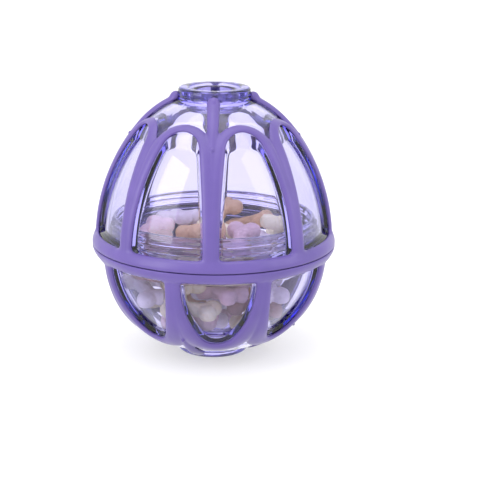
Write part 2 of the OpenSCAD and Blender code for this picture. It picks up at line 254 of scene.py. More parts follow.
# Each dough: its light and its dark colour, and how coarse its crumb is, from 0 to 1
DOUGHS = {
    "lilac": ((0.94, 0.83, 0.92), (0.76, 0.62, 0.76), 0.4),
    "pink": ((0.92, 0.66, 0.72), (0.72, 0.47, 0.55), 0.8),
    "cream": ((0.98, 0.90, 0.66), (0.92, 0.74, 0.42), 0.5),
    "tan": ((0.86, 0.58, 0.36), (0.66, 0.37, 0.20), 0.7),
    "brown": ((0.52, 0.31, 0.32), (0.35, 0.18, 0.19), 0.7),
}


def clear_violet(name, tint, density, rough):
    """Clear plastic: the tint is what is left of white light, and the density how fast it gets there."""
    material, tree, shader = new_material(name, {
        "Base Color": WHITE, "IOR": 1.49, "Transmission Weight": 1,
    })
    wear = object_noise(tree, scale=90, detail=3.0)
    tree.links.new(between(tree, wear, rough, rough + WEAR_ROUGH, 0.45, 0.75), shader.inputs["Roughness"])
    bumped(tree, shader, object_noise(tree, scale=45, detail=1.0), strength=0.05, distance=0.0004)
    absorb = node(tree, "ShaderNodeVolumeAbsorption", color=(*tint, 1), density=density)
    tree.links.new(absorb.outputs[0], tree.nodes["Material Output"].inputs["Volume"])
    return material


def rubber_purple():
    material, tree, shader = new_material("purple_rubber", {"Sheen Weight": 0.06, "Sheen Roughness": 0.4})
    tone = between(tree, object_noise(tree, scale=60, detail=4.0), 0.0, 1.0)
    tree.links.new(mixed(tree, tone, RUBBER_DARK, RUBBER_LIGHT), shader.inputs["Base Color"])
    satin = between(tree, object_noise(tree, scale=140, detail=3.0), 0.3, 0.42)
    tree.links.new(satin, shader.inputs["Roughness"])
    bumped(tree, shader, object_noise(tree, scale=2600), strength=0.12, distance=0.0001)
    return material


def dough(name, light, dark, crumb):
    """Baked dough: streaks and specks of the dark colour in the light one, and a batch's own shade."""
    material, tree, shader = new_material("dough_" + name, {"Specular IOR Level": 0.25})
    batch = node(tree, "ShaderNodeAttribute", attribute_name="batch").outputs["Fac"]
    grain = object_noise(tree, scale=130, detail=5.0, stretch=(1, 1, 2.6))
    streak = between(tree, grain, 0.0, 0.8, 0.34, 0.66)
    speck = between(tree, object_noise(tree, scale=900), 0.0, 1.0, 0.58, 0.68)
    pale = tuple(min(1.0, c * 1.18) for c in light)
    base = mixed(tree, streak, light, dark)
    base = mixed(tree, between(tree, batch, 0.0, 0.55, 0.0, 1.0), base, pale)
    base = mixed(tree, between(tree, speck, 0.0, 0.35, 0.0, 1.0), base, dark)
    tree.links.new(base, shader.inputs["Base Color"])
    tree.links.new(between(tree, streak, 0.78, 0.95, 0.0, 1.0), shader.inputs["Roughness"])
    coarse = object_noise(tree, scale=420, detail=6.0)
    bumped(tree, shader, coarse, strength=0.45 + 0.4 * crumb, distance=0.0011)
    return material


glass = clear_violet("clear_violet_plastic", GLASS_TINT, GLASS_DENSITY, GLASS_ROUGH)
gate_rubber = clear_violet("clear_violet_vinyl", GATE_TINT, GATE_DENSITY, GATE_ROUGH)
rubber = rubber_purple()
doughs = {colour: dough(colour, *tones) for colour, tones in DOUGHS.items()}
print("finishes made:", ", ".join(m.name for m in bpy.data.materials))

# %% [markdown]
# ## The egg's outline
# Every large piece is a layer of one egg: the rubber outside, the clear shell under it, the room
# inside. So one description of the outline serves them all. It could be a table of radii, but two
# tangent arcs say it exactly: a long arc for the side and a tighter one for the dome. A place on
# the egg is then three numbers: the turn about the axis, the way s along the outline from the
# parting plane, and the inset below the rubber's face. All of them are in millimetres here, and
# become metres when a mesh is made.

# %% The egg's outline
MM = 0.001
PITCH = math.pi / 4
RING_PROUND, LOWER_STEP = 1.3, 1.2
RING_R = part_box("lower_bumper")[1].x / MM
UPPER_R = RING_R - RING_PROUND
LOWER_R = UPPER_R - LOWER_STEP
SIDE_CENTRE_X = 34.3
DOME_STEP = 10.2
LOWER_TURN = math.radians(-18.7)


def ease(share):
    """A share held between 0 and 1, with a soft start and end."""
    share = np.clip(share, 0, 1)
    return share * share * (3 - 2 * share)


class Outline:
    """Half of the egg in section, from the parting plane to the axis."""

    def __init__(self, face_r, centre_x, top_r, up):
        self.side_r, self.centre_x, self.top_r, self.up = face_r + centre_x, centre_x, top_r, up
        apart = self.side_r - top_r
        self.join = math.acos(centre_x / apart) if apart > 0 else math.pi / 2
        self.top_z = apart * math.sin(self.join)
        self.join_s = self.side_r * self.join

    def place(self, s, inset):
        """Radius, and height from the parting plane, at a way s along the outline and an inset."""
        low = s / self.side_r
        high = self.join + (s - self.join_s) / self.top_r
        side_r, top_r = self.side_r - inset, self.top_r - inset
        on_side = s <= self.join_s
        r = np.where(on_side, side_r * np.cos(low) - self.centre_x, top_r * np.cos(high))
        return r, np.where(on_side, side_r * np.sin(low), self.top_z + top_r * np.sin(high))

    def way_at_height(self, z, inset):
        """The way s along the outline at which a layer has this height."""
        low = np.arcsin(np.clip(z / (self.side_r - inset), -1, 1))
        high = np.arcsin(np.clip((z - self.top_z) / (self.top_r - inset), -1, 1))
        return np.where(low <= self.join, low * self.side_r, self.join_s + (high - self.join) * self.top_r)

    def way_at_radius(self, r, inset):
        """The way s along the outline at which a layer's dome has this radius."""
        return self.join_s + (math.acos(r / (self.top_r - inset)) - self.join) * self.top_r

    def points(self, turn, s, inset):
        """The same place in space, in metres."""
        r, z = self.place(s, inset)
        return np.stack([r * np.sin(turn) * MM, -r * np.cos(turn) * MM, PARTING + self.up * z * MM], -1)


UPPER = Outline(UPPER_R, SIDE_CENTRE_X, UPPER_R - DOME_STEP, 1)
LOWER = Outline(LOWER_R, 0.0, LOWER_R, -1)
print("upper cage", round(UPPER_R, 2), "mm, lower cage", round(LOWER_R, 2), "mm in radius")

# %% [markdown]
# ## The windows' and arches' outline
# The windows in the shell and the rubber arches round them share one form: two side arcs that stand
# on the ring and a crown arc tangent to both. It is drawn level, as seen from the side, because
# that is how the mould's slides pull away from the real shell. The distance to it tells a layer
# where it is inside or outside.

# %% Arch distance
LEG_W, ARCH_OVER_LEG = 8.8, 6.6
WINDOWS = {
    "upper": {"half_w": UPPER_R * math.sin(PITCH / 2) - LEG_W / 2, "high": 55.5, "crown_r": 10.0},
    "lower": {"half_w": LOWER_R * math.sin(PITCH / 2) - LEG_W / 2, "high": 35.7, "crown_r": 9.0},
}
ARCHES = {
    "upper": {"half_w": WINDOWS["upper"]["half_w"] + ARCH_OVER_LEG, "high": 58.4, "crown_r": 17.5},
    "lower": {"half_w": WINDOWS["lower"]["half_w"] + ARCH_OVER_LEG, "high": 41.8, "crown_r": 20.0},
}


def side_arc(half_w, high, crown_r):
    """Radius of an arch's side arcs, and how far their centres lie beyond its middle line."""
    side_r = (half_w ** 2 + (high - crown_r) ** 2 - crown_r ** 2) / (2 * (half_w - crown_r))
    return side_r, side_r - half_w


def arch_distance(x, y, half_w, high, crown_r):
    """Distance from an arch in its plane: negative inside."""
    side_r, side_x = side_arc(half_w, high, crown_r)
    x, crown_y = np.abs(x), high - crown_r
    to_side = np.hypot(x + side_x, y) - side_r
    to_crown = np.hypot(x, y - crown_y) - crown_r
    return np.where((x + side_x) * crown_y > y * side_x, to_side, to_crown)


for name, window in WINDOWS.items():
    print(name, "window", round(2 * window["half_w"], 1), "mm wide,", window["high"], "mm high")

# %% [markdown]
# ## The rubber cages as a field
# The cage is one moulding: tube-like arches that melt together into legs, a ring at the foot, and a
# rib from every second leg up to the collar. The upper ribs end in round heads that climb on to the
# collar, and each ribbed leg has a small dot. Extruding and joining these by booleans leaves sharp
# creases where the real rubber has soft fillets. A field does better: a formula gives every point
# its distance from the rubber, a smooth minimum joins two forms with a fillet, and a net of faces is
# then laid over the place where the distance is zero.

# %% The cage's field
RUBBER_T = 1.95
# The ring stays a little shy of the CAD ring's face, so that nothing reaches past it
RING_H, RING_GAP, RING_ROUND_R, RING_EDGE_R, RING_SHY = 5.0, 0.4, 5.8, 0.5, 0.03
COLLAR_R = 17.65
RIB_FOOT_W, RIB_HEAD_W, RIB_FLARE = 3.0, 6.2, 0.4
PILLOW_H, PILLOW_W = 1.75, 3.6
FILLET_LEG, FILLET_FORK, FILLET_CORNER = 2.6, 1.3, 2.4
HEAD_R, HEAD_FROM_COLLAR, HEAD_INSET, HEAD_FILLET = 2.8, 1.5, 1.2, 1.5
DOT_R, DOT_INSET, DOT_FILLET = 0.8, 0.45, 0.5
DOT_HEIGHTS = {"upper": 53.9, "lower": 38.8}
FAR_AWAY = 9.0


def soft_min(a, b, fillet):
    """Joins two forms, with a fillet where they meet."""
    share = np.maximum(fillet - np.abs(a - b), 0) / fillet
    return np.minimum(a, b) - share * share * fillet / 4


def round_max(a, b, radius):
    """Keeps what two forms have in common, with a rounded edge."""
    outside = np.hypot(np.maximum(a + radius, 0), np.maximum(b + radius, 0))
    return outside - radius + np.minimum(np.maximum(a, b) + radius, 0)


def cage_plan(kind, turn, r, z):
    """Distance from the cage's lattice as drawn on the egg."""
    lattice = FAR_AWAY
    for centre in (-PITCH / 2, PITCH / 2, 3 * PITCH / 2):
        arch = arch_distance(r * np.sin(turn - centre), z - RING_H, **ARCHES[kind])
        lattice = soft_min(lattice, arch, FILLET_FORK)
    head_r = COLLAR_R + RIB_HEAD_W / 2
    foot_r = WINDOWS[kind]["half_w"] / math.sin(PITCH / 2) - LEG_W / 2
    widen = np.clip((foot_r - r * np.cos(turn)) / (foot_r - head_r), 0, 1)
    rib_w = RIB_FOOT_W + (RIB_HEAD_W - RIB_FOOT_W) * widen ** RIB_FLARE
    rib = np.hypot(r * np.sin(turn), np.minimum(r * np.cos(turn) - head_r, 0)) - rib_w / 2
    window = arch_distance(r * np.sin(turn - PITCH / 2), z - RING_H, **WINDOWS[kind])
    window = round_max(window, RING_H - z, FILLET_CORNER)
    return np.maximum(soft_min(lattice, rib, FILLET_FORK), -window)


def ball_on_leg(turn, r, z, middle_r, middle_z, radius):
    """Distance from a ball whose middle is on a ribbed leg's middle line."""
    across, out = r * np.sin(turn), r * np.cos(turn) - middle_r
    return np.sqrt(across ** 2 + out ** 2 + (z - middle_z) ** 2) - radius


def cage_field(kind, outline, turn, s, inset):
    """Distance from the rubber of one cage. It repeats every quarter turn, and mirrors within it."""
    r, z = outline.place(s, inset)
    turn = np.abs((turn + PITCH) % (2 * PITCH) - PITCH)
    plan = cage_plan(kind, turn, r, z)
    pillow = np.hypot(
        np.maximum((PILLOW_H - inset) / PILLOW_H, 0), np.maximum((plan + PILLOW_W) / PILLOW_W, 0)
    ) - 1
    on_edge = (inset < PILLOW_H) & (plan > -PILLOW_W)
    layer = np.where(on_edge, pillow * PILLOW_H, np.maximum(-inset, plan))
    if kind == "upper":
        head = outline.place(outline.way_at_radius(COLLAR_R + HEAD_FROM_COLLAR, 0.0), HEAD_INSET)
        layer = soft_min(layer, ball_on_leg(turn, r, z, *head, HEAD_R), HEAD_FILLET)
    layer = np.maximum(layer, COLLAR_R - r)
    ring = round_max(np.hypot(r - RING_R + RING_ROUND_R, z) - RING_ROUND_R, z - RING_H, RING_EDGE_R)
    both = round_max(soft_min(layer, ring, FILLET_LEG), RING_GAP / 2 - z, RING_EDGE_R)
    dot_z = DOT_HEIGHTS[kind]
    dot_r = outline.place(outline.way_at_height(dot_z, 0), DOT_INSET)[0]
    both = soft_min(both, ball_on_leg(turn, r, z, dot_r, dot_z, DOT_R), DOT_FILLET)
    return np.maximum(np.maximum(both, inset - RUBBER_T), r - RING_R + RING_SHY)


leg_middle = float(cage_field("upper", UPPER, 0.0, 20.0, 1.0))
print("the field is", round(leg_middle, 2), "mm in the middle of a leg")


# %% [markdown]
# ## From a field to faces
# A surface net puts one point in each small cell that the surface passes through, and a face across
# each grid edge that it cuts. The points are then moved along the field's slope until the distance
# is zero, which takes away the grid's steps. Blender's own remesh does something like it on a
# finished mesh, but a formula can be asked for its exact value, so the rubber comes out smooth.
# Only a quarter is netted, because the cage repeats four times.

# %% Surface net
def surface_net(values, grid):
    """Points and faces where the values on a grid pass zero, one point a cell."""
    cells = [n - 1 for n in values.shape]

    def corner(array, a, b, c):
        return array[a:a + cells[0], b:b + cells[1], c:c + cells[2]]

    total, count = np.zeros((3, *cells)), np.zeros(cells)
    for axis in range(3):
        for near in ((0, 0), (0, 1), (1, 0), (1, 1)):
            start = list(near)
            start.insert(axis, 0)
            end = list(near)
            end.insert(axis, 1)
            f0, f1 = corner(values, *start), corner(values, *end)
            cut = (f0 < 0) != (f1 < 0)
            share = np.where(cut, f0 / np.where(cut, f0 - f1, 1), 0)
            for k in range(3):
                p0, p1 = corner(grid[k], *start), corner(grid[k], *end)
                total[k] += np.where(cut, p0 + share * (p1 - p0), 0)
            count += cut
    used = count > 0
    index = np.full(cells, -1)
    index[used] = np.arange(used.sum())
    faces = []
    for axis in range(3):
        near = [slice(0 if k == axis else 1, cells[k]) for k in range(3)]
        far = [slice(1, cells[k] + 1) if k == axis else near[k] for k in range(3)]
        a, b = values[tuple(near)] < 0, values[tuple(far)] < 0
        cell = np.argwhere(a != b) + [0 if k == axis else 1 for k in range(3)]
        u, v = [k for k in range(3) if k != axis]
        quad = []
        for du, dv in ((0, 0), (1, 0), (1, 1), (0, 1)):
            c = cell.copy()
            c[:, u] -= du
            c[:, v] -= dv
            quad.append(index[tuple(c.T)])
        quad = np.stack(quad, 1)
        turned = a[a != b] if axis != 1 else ~a[a != b]
        quad[turned] = quad[turned][:, ::-1]
        faces.append(quad)
    return np.stack([total[k][used] / count[used] for k in range(3)], 1), np.concatenate(faces)


def settle(field, outline, places):
    """Moves places (turn, s, inset) down the field's slope on to its surface."""
    rounds, step, longest, least_slope = 4, 0.02, 0.25, 0.2
    for _ in range(rounds):
        turn, s, inset = places.T
        r = outline.place(s, inset)[0]
        slope = np.stack([
            field(turn + step / r, s, inset) - field(turn - step / r, s, inset),
            field(turn, s + step, inset) - field(turn, s - step, inset),
            field(turn, s, inset + step) - field(turn, s, inset - step),
        ], 1) / (2 * step)
        steep = np.maximum((slope ** 2).sum(1), least_slope)
        move = -field(turn, s, inset)[:, None] * slope / steep[:, None]
        move *= np.minimum(1, longest / np.maximum(np.linalg.norm(move, axis=1), 1e-9))[:, None]
        places = places + move / np.stack([r, np.ones_like(r), np.ones_like(r)], 1)
    return places


# %% [markdown]
# ## One tile, repeated by Geometry Nodes
# Cages, shells and their windows all repeat round the axis. One small tree does it for all of them:
# it puts a number of copies of a tile at the same point, turns each one further, realizes them and
# welds the seams. Its inputs are the tile, the number of copies, the first turn and the material.

# %% The repeating tree
# Points closer than this are welded, in metres
WELD = 5e-6


def add_mesh(name, points, faces):
    mesh = bpy.data.meshes.new(name)
    mesh.from_pydata([tuple(p) for p in points], [], [tuple(int(i) for i in f) for f in faces])
    piece = bpy.data.objects.new(name, mesh)
    bpy.context.scene.collection.objects.link(piece)
    return piece


def new_tree(name, inputs):
    tree = bpy.data.node_groups.new(name, "GeometryNodeTree")
    tree.interface.new_socket("Geometry", in_out="INPUT", socket_type="NodeSocketGeometry")
    for label, kind in inputs:
        tree.interface.new_socket(label, in_out="INPUT", socket_type="NodeSocket" + kind)
    tree.interface.new_socket("Geometry", in_out="OUTPUT", socket_type="NodeSocketGeometry")
    return tree, tree.nodes.new("NodeGroupInput"), tree.nodes.new("NodeGroupOutput")


def repeat_tree():
    tree, given, result = new_tree("repeat_round_the_axis", [
        ("Tile", "Object"), ("Copies", "Int"), ("First turn", "Float"), ("Material", "Material"),
    ])
    tile = node(tree, "GeometryNodeObjectInfo", object=given.outputs["Tile"])
    line = node(tree, "GeometryNodeMeshLine", count=given.outputs["Copies"], offset=(0, 0, 0))
    index = node(tree, "GeometryNodeInputIndex").outputs[0]
    pitch = math_node(tree, "DIVIDE", 2 * math.pi, given.outputs["Copies"])
    turn = math_node(tree, "MULTIPLY_ADD", index, pitch, given.outputs["First turn"])
    angle = node(tree, "ShaderNodeCombineXYZ", z=turn)
    copies = node(
        tree, "GeometryNodeInstanceOnPoints", points=line.outputs[0], instance=tile.outputs["Geometry"],
        rotation=angle.outputs[0],
    )
    real = node(tree, "GeometryNodeRealizeInstances", geometry=copies.outputs[0])
    whole = node(tree, "GeometryNodeJoinGeometry")
    tree.links.new(given.outputs["Geometry"], whole.inputs[0])
    tree.links.new(real.outputs[0], whole.inputs[0])
    weld = node(tree, "GeometryNodeMergeByDistance", geometry=whole.outputs[0], distance=WELD)
    painted = node(
        tree, "GeometryNodeSetMaterial", geometry=weld.outputs[0], material=given.outputs["Material"]
    )
    tree.links.new(painted.outputs[0], result.inputs[0])
    return tree


def bake(piece, name, tree, **inputs):
    """Runs a tree on a piece, and returns the result as a plain mesh of its own."""
    modifier = piece.modifiers.new("tree", "NODES")
    modifier.node_group = tree
    sockets = {s.name: s.identifier for s in tree.interface.items_tree if s.in_out == "INPUT"}
    for label, value in inputs.items():
        modifier[sockets[label.replace("_", " ")]] = value
    graph = bpy.context.evaluated_depsgraph_get()
    mesh = bpy.data.meshes.new_from_object(piece.evaluated_get(graph))
    mesh.name = name
    piece.modifiers.remove(modifier)
    baked = bpy.data.objects.new(name, mesh)
    bpy.context.scene.collection.objects.link(baked)
    bpy.data.objects.remove(piece)
    return baked


def close_up(piece):
    """Turns all faces outwards, shades them smooth, and says if the piece is closed."""
    work = bmesh.new()
    work.from_mesh(piece.data)
    bmesh.ops.recalc_face_normals(work, faces=work.faces)
    if work.calc_volume(signed=True) < 0:
        bmesh.ops.reverse_faces(work, faces=work.faces)
    open_edges = sum(not e.is_manifold for e in work.edges)
    for face in work.faces:
        face.smooth = True
    work.to_mesh(piece.data)
    work.free()
    print(piece.name, len(piece.data.polygons), "faces, open edges:", open_edges)


repeat_round = repeat_tree()


# %% Make the two cages
CELL, INSET_CELL_SHARE = 0.6, 0.6
QUARTER_COLUMNS = 150


def make_cage(kind, outline, first_turn):
    def field(turn, s, inset):
        return cage_field(kind, outline, turn, s, inset)

    pitch = 2 * PITCH / QUARTER_COLUMNS
    turns = -PITCH + pitch * (np.arange(QUARTER_COLUMNS + 2) - 0.5)
    ways = np.arange(-CELL, outline.way_at_radius(COLLAR_R, 0) + 2 * CELL, CELL)
    proud = UPPER_R - RING_R - (UPPER_R - LOWER_R)
    insets = np.arange(proud - CELL, RUBBER_T + CELL, CELL * INSET_CELL_SHARE)
    grid = np.meshgrid(turns, ways, insets, indexing="ij")
    places, faces = surface_net(field(*grid), grid)
    points = outline.points(*settle(field, outline, places).T)
    tile = add_mesh("cage_tile", points, faces)
    cage = bake(
        add_mesh("cage_start", [], []), kind + "_rubber_cage", repeat_round,
        Tile=tile, Copies=4, First_turn=first_turn, Material=rubber,
    )
    bpy.data.objects.remove(tile)
    close_up(cage)
    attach(cage, kind + "_half")
    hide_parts(kind + "_bumper")


make_cage("upper", UPPER, 0.0)
make_cage("lower", LOWER, LOWER_TURN)

# %% [markdown]
# ## The clear shells
# A shell half is one moulding with eight pockets: each pocket has a flat panel, a rounded wall
# round it, and on the upper half a long sloped wall under the crown. What light does in clear
# plastic depends on these walls, so they are drawn with loops that follow the window's outline, not
# cut into a coarse surface. Inside the loops lies the panel, a grid stretched between four sides.
# Outside them a band runs to the neighbours, the parting edge and the collar.

# %% A window's outline
SIDE_STEPS, END_STEPS = 46, 12
CORNER_ROUND, CORNER_LEAST = 2.6, 0.9
CROWN_CORNER_SHARE = 0.5
# The crown drops over the last share of a window's height
DROP_START_SHARE, DROP_SHARE = 0.8, 0.2
# Fine points along the outline, between which the loops' points are then spaced
FOOT_POINTS, CORNER_POINTS, SIDE_POINTS, CROWN_POINTS = 19, 24, 120, 80


def half_outline(delta, half_w, high, crown_r):
    """The right half of a window's outline, drawn inwards by delta, from the foot's middle to the crown's."""
    side_r, side_x = side_arc(half_w, high, crown_r)
    side_r, crown_y = side_r - delta, high - crown_r
    crown_r = crown_r - delta
    corner = max(CORNER_ROUND - delta, CORNER_LEAST)
    corner_x = math.sqrt((side_r - corner) ** 2 - (delta + corner) ** 2) - side_x
    start = math.atan2(delta + corner, corner_x + side_x)
    meet = math.atan2(crown_y, side_x)
    a = np.linspace(-math.pi / 2, start, CORNER_POINTS)
    b = np.linspace(start, meet, SIDE_POINTS)
    c = np.linspace(meet, math.pi / 2, CROWN_POINTS)
    x = np.concatenate([np.linspace(0, corner_x, FOOT_POINTS + 1)[:-1], corner_x + corner * np.cos(a),
                        side_r * np.cos(b[1:]) - side_x, crown_r * np.cos(c[1:])])
    y = np.concatenate([np.full(FOOT_POINTS, delta), delta + corner + corner * np.sin(a),
                        side_r * np.sin(b[1:]), crown_y + crown_r * np.sin(c[1:])])
    way = np.concatenate([[0], np.cumsum(np.hypot(np.diff(x), np.diff(y)))])
    mid_corner = way[FOOT_POINTS + CORNER_POINTS // 2]
    return x, y, way, mid_corner, way[-1] - CROWN_CORNER_SHARE * (math.pi / 2 - meet) * crown_r


def window_loop(kind, delta, drop):
    """Points round a window: foot, right side, crown, left side. Drop lowers the crown."""
    window = WINDOWS[kind]
    x, y, way, foot_end, crown_start = half_outline(delta, **window)
    stops = np.concatenate([
        np.linspace(0, foot_end, END_STEPS + 1)[:-1],
        np.linspace(foot_end, crown_start, SIDE_STEPS + 1)[:-1],
        np.linspace(crown_start, way[-1], END_STEPS + 1),
    ])
    px, py = np.interp(stops, way, x), np.interp(stops, way, y)
    py = py - drop * ease((py / window["high"] - DROP_START_SHARE) / DROP_SHARE)
    return np.concatenate([px, -px[-2:0:-1]]), np.concatenate([py, py[-2:0:-1]])


# %% [markdown]
# ### One sector of the shell
# The sector is an eighth of the half's outer skin. Its points are worked out on the egg's chart, as
# turn and way, and go to their places in space at the end. The loops' insets give the wall its
# rounded top edge, its draft and the fillet to the panel.

# %% A sector's skin
SECTORS = 8
FACE_INSET = 2.0
# Each loop: how far inside the outline, its inset below the rubber's face, its share of the crown's drop
WALL_LOOPS = (
    (-0.7, 2.0, 0.0), (-0.2, 2.0, 0.0), (0.02, 2.03, 0.01), (0.2, 2.14, 0.05), (0.45, 2.38, 0.16),
    (0.85, 2.8, 0.38), (1.25, 3.24, 0.62), (1.6, 3.6, 0.8), (1.9, 3.84, 0.92), (2.2, 3.96, 0.98),
    (2.5, 4.0, 1.0),
)
CROWN_DROP = {"upper": 5.6, "lower": 1.2}
BAND_ROWS = 5
SHELL_COLLAR_R = 17.6


def on_chart(kind, outline, x, y, inset):
    way = outline.way_at_height(y + RING_H, inset)
    r = outline.place(way, inset)[0]
    return np.arcsin(x / r), way


def stretched(bottom, top, left, right):
    """A grid stretched between four sides, given as lists of points. Corners are shared."""
    rows, columns = len(left), len(bottom)
    u = np.linspace(0, 1, columns)[None, :, None]
    v = np.linspace(0, 1, rows)[:, None, None]
    across = (1 - u) * left[:, None] + u * right[:, None]
    along = (1 - v) * bottom[None] + v * top[None]
    corners = (1 - u) * ((1 - v) * bottom[0] + v * top[0]) + u * ((1 - v) * bottom[-1] + v * top[-1])
    return across + along - corners


def quads(index, columns, rows):
    """Faces between the rows of an index whose columns run round and close."""
    return [
        (index[i, j], index[i, (j + 1) % columns], index[i + 1, (j + 1) % columns], index[i + 1, j])
        for i in range(rows - 1) for j in range(columns)
    ]


def sector_skin(kind, outline):
    """Points and faces of one sector, between the parting edge, the collar and two neighbours."""
    around = 4 * END_STEPS + 2 * SIDE_STEPS
    loops = []
    for delta, inset, share in WALL_LOOPS:
        x, y = window_loop(kind, delta, CROWN_DROP[kind] * share)
        turn, way = on_chart(kind, outline, x, y, inset)
        loops.append(np.stack([turn, way, np.full(around, inset)], 1))
    end = outline.way_at_radius(SHELL_COLLAR_R, FACE_INSET)
    half = PITCH / 2
    foot = np.linspace(0, half, END_STEPS + 1)
    side = np.linspace(0, end, SIDE_STEPS + 1)
    turn = np.concatenate([foot[:-1], np.full(SIDE_STEPS, half), foot[::-1]])
    way = np.concatenate([np.zeros(END_STEPS), side[:-1], np.full(END_STEPS + 1, end)])
    turn, way = np.concatenate([turn, -turn[-2:0:-1]]), np.concatenate([way, way[-2:0:-1]])
    edge = np.stack([turn, way, np.full(around, FACE_INSET)], 1)
    band = [edge + (loops[0] - edge) * k / BAND_ROWS for k in range(BAND_ROWS)]
    rings = np.stack(band + loops)
    index = np.arange(rings.shape[0] * around).reshape(rings.shape[0], around)
    faces = quads(index, around, rings.shape[0])
    last, ids = rings[-1], index[-1]
    e, s = END_STEPS, SIDE_STEPS
    bottom = [(around - e + k) % around for k in range(2 * e + 1)]
    right = list(range(e, e + s + 1))
    top = [e + s + 2 * e - k for k in range(2 * e + 1)]
    left = [around - e - k for k in range(s + 1)]
    panel = stretched(last[bottom], last[top], last[left], last[right])
    panel_ids = np.arange(panel.shape[0] * panel.shape[1]).reshape(panel.shape[:2]) + rings.shape[0] * around
    panel_ids[0], panel_ids[-1] = ids[bottom], ids[top]
    panel_ids[:, 0], panel_ids[:, -1] = ids[left], ids[right]
    faces += [
        (panel_ids[i, j], panel_ids[i, j + 1], panel_ids[i + 1, j + 1], panel_ids[i + 1, j])
        for i in range(panel.shape[0] - 1) for j in range(panel.shape[1] - 1)
    ]
    places = np.concatenate([rings.reshape(-1, 3), panel.reshape(-1, 3)])
    return outline.points(*places.T), faces


# %% [markdown]
# ### The turned part of a shell
# Collar, hole, sleeve, the inside wall and the neck are all round, so they are one profile swept
# about the axis. The sweep has as many columns as the sectors' edges, so that both meet point on
# point and can be welded. On the neck the sweep adds the thread: a ridge whose height depends on
# how far a point lies from a helix.

# %% Profiles
RIM_ROUND, HOLE_R, SLEEVE_DEPTH, SLEEVE_WALL, SLEEVE_ROUND = 1.6, 12.0, 10.0, 1.6, 0.5
COLLAR_H = {"upper": 5.5, "lower": 3.2}
ROOM_INSET, DOME_INSET = 6.0, 4.0
# Heights between which the inside eases from the room's inset to the dome's
EASE_HEIGHTS = {"upper": (54.5, 61.5), "lower": (37.0, 43.0)}
THREAD_PITCH, THREAD_H, THREAD_W, THREAD_FLANK = 3.6, 1.2, 2.8, 0.7
THREAD_GAPS, THREAD_GAP_TURN, THREAD_GAP_HALF, THREAD_GAP_FLOOR = 5, math.radians(35), math.radians(1.6), 0.6
THREAD_FOOT, THREAD_TOP, THREAD_FADE = 1.6, 0.6, 1.2
NECK_R, NECK_IN_R, NECK_H, FLANGE_T = UPPER_R - 9.1, UPPER_R - 11.1, 14.0, 2.6
NECK_ROUND, NECK_STEP, NECK_MARGIN = 0.7, 0.4, 0.2
ROOM_LOW_Z = 15.0
ROUND_STEPS, HOLE_STEPS, SLEEVE_STEPS, INSIDE_STEPS, NECK_POINTS = 6, 5, 3, 45, 12


def round_corner(x, z, radius, start, end):
    """An arc of a profile about a centre, between two angles in degrees."""
    return [
        (x + radius * math.cos(a), z + radius * math.sin(a))
        for a in np.linspace(math.radians(start), math.radians(end), ROUND_STEPS + 1)
    ]


def collar_profile(kind, outline):
    """From the shell's face over the rim, down the hole and round the sleeve to the dome's inside."""
    face_z = float(outline.place(outline.way_at_radius(SHELL_COLLAR_R, FACE_INSET), FACE_INSET)[1])
    rim_z = face_z + COLLAR_H[kind]
    out_r, in_r = SHELL_COLLAR_R - RIM_ROUND, HOLE_R + RIM_ROUND
    sleeve_z, sleeve_r = rim_z - SLEEVE_DEPTH, HOLE_R + SLEEVE_WALL
    under_z = float(outline.place(outline.way_at_radius(sleeve_r, DOME_INSET), DOME_INSET)[1])
    low, high = sleeve_z + SLEEVE_ROUND, rim_z - RIM_ROUND
    points = [(SHELL_COLLAR_R, face_z), (SHELL_COLLAR_R, face_z + (high - face_z) / 2)]
    points += round_corner(out_r, high, RIM_ROUND, 0, 90)
    points += round_corner(in_r, high, RIM_ROUND, 90, 180)
    points += [(HOLE_R, z) for z in np.linspace(high, low, HOLE_STEPS + 1)[1:-1]]
    points += round_corner(HOLE_R + SLEEVE_ROUND, low, SLEEVE_ROUND, 180, 270)
    points += round_corner(sleeve_r - SLEEVE_ROUND, low, SLEEVE_ROUND, 270, 360)
    points += [(sleeve_r, z) for z in np.linspace(low, under_z, SLEEVE_STEPS + 1)[1:]]
    return points


def inside_profile(kind, outline, low_z):
    """From the sleeve down the inside of the dome and of the side to a height."""
    first = outline.way_at_radius(HOLE_R + SLEEVE_WALL, DOME_INSET)
    last = float(outline.way_at_height(np.array(low_z), ROOM_INSET))
    start, end = EASE_HEIGHTS[kind]
    points = []
    for way in np.linspace(first, last, INSIDE_STEPS + 1)[1:]:
        z = float(outline.place(way, DOME_INSET)[1])
        inset = ROOM_INSET + (DOME_INSET - ROOM_INSET) * ease((z - start) / (end - start))
        points.append(tuple(float(v) for v in outline.place(way, inset)))
    return points


def sweep(profile, columns, first_turn, ridge=None):
    """Points and faces of a profile turned about the axis. A ridge moves points out by turn and height."""
    turns = first_turn + np.arange(columns) * 2 * math.pi / columns
    profile = np.array(profile)
    r = np.repeat(profile[:, :1], columns, 1)
    z = np.repeat(profile[:, 1:], columns, 1)
    turn = np.repeat(turns[None], len(profile), 0)
    if ridge is not None:
        r = r + ridge(r, turn, z)
    points = np.stack([r * np.sin(turn), -r * np.cos(turn), z], -1).reshape(-1, 3)
    index = np.arange(len(points)).reshape(len(profile), columns)
    return points, quads(index, columns, len(profile))


def thread_ridge(turn, z):
    """Height of the thread at a turn and a height: a rounded ridge along a right-handed helix."""
    phase = z / THREAD_PITCH - turn / (2 * math.pi)
    apart = np.abs(phase - np.round(phase)) * THREAD_PITCH
    spacing = 2 * math.pi / THREAD_GAPS
    gap = (turn - THREAD_GAP_TURN + math.pi / THREAD_GAPS) % spacing - math.pi / THREAD_GAPS
    full = np.clip(np.abs(gap) / THREAD_GAP_HALF - THREAD_GAP_FLOOR, 0, 1)
    return THREAD_H * ease((THREAD_W / 2 - apart) / THREAD_FLANK) * full


